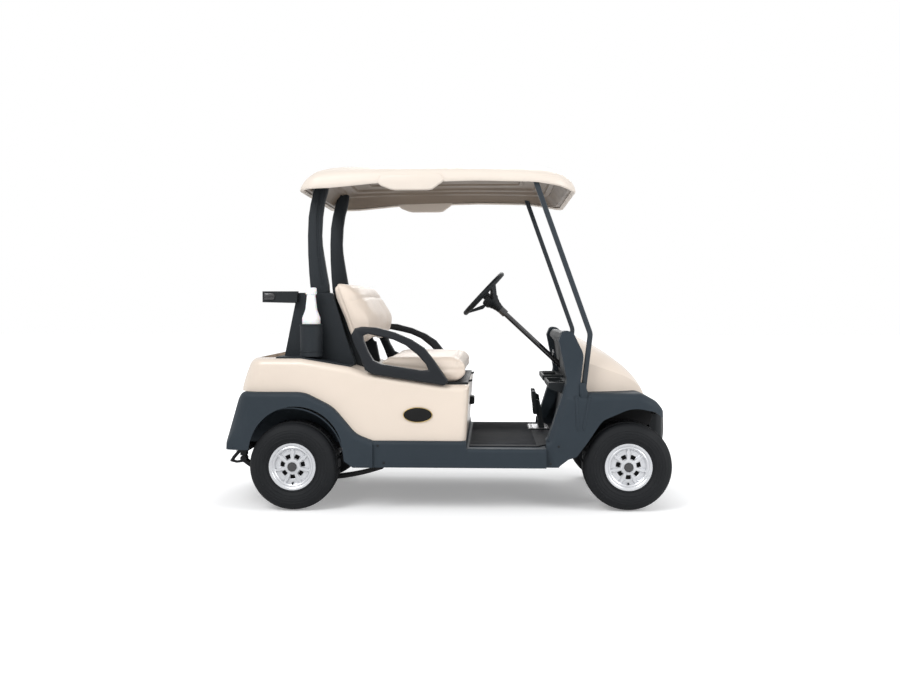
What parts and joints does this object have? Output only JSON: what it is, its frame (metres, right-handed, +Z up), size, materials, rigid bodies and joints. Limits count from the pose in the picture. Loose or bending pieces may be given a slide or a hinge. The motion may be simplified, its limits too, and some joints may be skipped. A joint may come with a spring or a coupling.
{
  "type": "golf cart",
  "caption": "Open electric golf cart with a bench seat, flat roof on posts, rear bag tower and steered front wheels.",
  "frame": {"origin": "on the ground, under the middle of the cart's overall length and width", "axes": "+X forward, +Y to the driver's left side, +Z up"},
  "size_m": [2.3231, 1.2, 1.7519],
  "materials": {
    "body_beige": "moulded, satin gloss",
    "roof_beige": "moulded, satin gloss",
    "dark_moulding": "fine grained",
    "black_plastic": "smooth matt",
    "frame_paint": "black paint",
    "bare_steel": "plain",
    "strut_paint": "satin black paint",
    "tyre": "moulded",
    "wheel_silver": "silver paint",
    "seat_vinyl": "smooth vinyl",
    "mat_rubber": "ribbed",
    "bottle_white": "translucent white",
    "plaque_black": "gloss, gold edge",
    "column_black": "gloss",
    "battery_case": "plain"
  },
  "bodies": {
    "chassis": {"frame_rails": "frame_paint", "battery_pack": "battery_case", "rear_axle": "frame_paint", "rear_leaf_springs": "frame_paint", "front_suspension": "frame_paint", "steering_rack": "bare_steel", "rear_body": "body_beige", "side_plaques": "plaque_black", "direction_switch": "black_plastic", "rear_fender": "dark_moulding", "floor_pan": "dark_moulding", "floor_mat": "mat_rubber", "front_moulding": "dark_moulding", "dash": "black_plastic", "front_cowl": "body_beige", "front_bumper": "dark_moulding", "dash_trays": "black_plastic", "steering_column": "column_black", "pedals": "black_plastic", "seat_back": "seat_vinyl", "seat_support": "black_plastic", "bag_tower": "black_plastic", "bag_rack": "black_plastic", "bottle_holders": "black_plastic", "sand_bottles": "bottle_white", "armrest_left": "dark_moulding", "armrest_right": "dark_moulding", "roof": "roof_beige", "roof_pillar_left": "black_plastic", "roof_pillar_right": "black_plastic", "roof_strut_left": "strut_paint", "roof_strut_right": "strut_paint"},
    "wheel_rear_left": {"tyre_rear_left": "tyre", "rim_rear_left": "wheel_silver"},
    "wheel_rear_right": {"tyre_rear_right": "tyre", "rim_rear_right": "wheel_silver"},
    "wheel_front_left": {"tyre_front_left": "tyre", "rim_front_left": "wheel_silver"},
    "wheel_front_right": {"tyre_front_right": "tyre", "rim_front_right": "wheel_silver"},
    "knuckle_left": {"knuckle_left": "frame_paint"},
    "knuckle_right": {"knuckle_right": "frame_paint"},
    "steering_wheel": {"steering_wheel": "black_plastic"},
    "tie_rod": {"tie_rod": "bare_steel"},
    "seat_bottom": {"seat_pan": "black_plastic", "seat_cushion": "seat_vinyl"}
  },
  "joints": [
    {"name": "wheel_spin_rear_left", "type": "hinge", "parent": "chassis", "child": "wheel_rear_left", "pos_m": [-0.756, 0.489, 0.222], "axis": [0, 1, 0], "continuous": true},
    {"name": "wheel_spin_rear_right", "type": "hinge", "parent": "chassis", "child": "wheel_rear_right", "pos_m": [-0.756, -0.489, 0.222], "axis": [0, 1, 0], "continuous": true},
    {"name": "steer_left", "type": "hinge", "parent": "chassis", "child": "knuckle_left", "pos_m": [0.908, 0.345, 0.222], "axis": [0, 0, 1], "range_deg": [-28.5, 28.5]},
    {"name": "wheel_spin_front_left", "type": "hinge", "parent": "knuckle_left", "child": "wheel_front_left", "pos_m": [0.908, 0.438, 0.222], "axis": [0, 1, 0], "continuous": true},
    {"name": "steer_right", "type": "hinge", "parent": "chassis", "child": "knuckle_right", "pos_m": [0.908, -0.345, 0.222], "axis": [0, 0, 1], "range_deg": [-28.5, 28.5]},
    {"name": "wheel_spin_front_right", "type": "hinge", "parent": "knuckle_right", "child": "wheel_front_right", "pos_m": [0.908, -0.438, 0.222], "axis": [0, 1, 0], "continuous": true},
    {"name": "steering_wheel_turn", "type": "hinge", "parent": "chassis", "child": "steering_wheel", "pos_m": [0.1865, 0.25, 1.091], "axis": [-0.7314, 0, 0.682], "range_deg": [-392, 392]},
    {"name": "rack_slide", "type": "slide", "parent": "chassis", "child": "tie_rod", "axis": [0, 1, 0], "range_m": [-0.0287, 0.0287]},
    {"name": "seat_bottom_lift", "type": "hinge", "parent": "chassis", "child": "seat_bottom", "pos_m": [0.126, 0, 0.634], "axis": [0, 1, 0], "range_deg": [0, 50]}
  ],
  "couplings": [
    {"joint": "steer_left", "follows": "steering_wheel_turn", "ratio": 0.071429},
    {"joint": "steer_right", "follows": "steering_wheel_turn", "ratio": 0.071429},
    {"joint": "rack_slide", "follows": "steering_wheel_turn", "m_per_rad": -0.0041171}
  ]
}
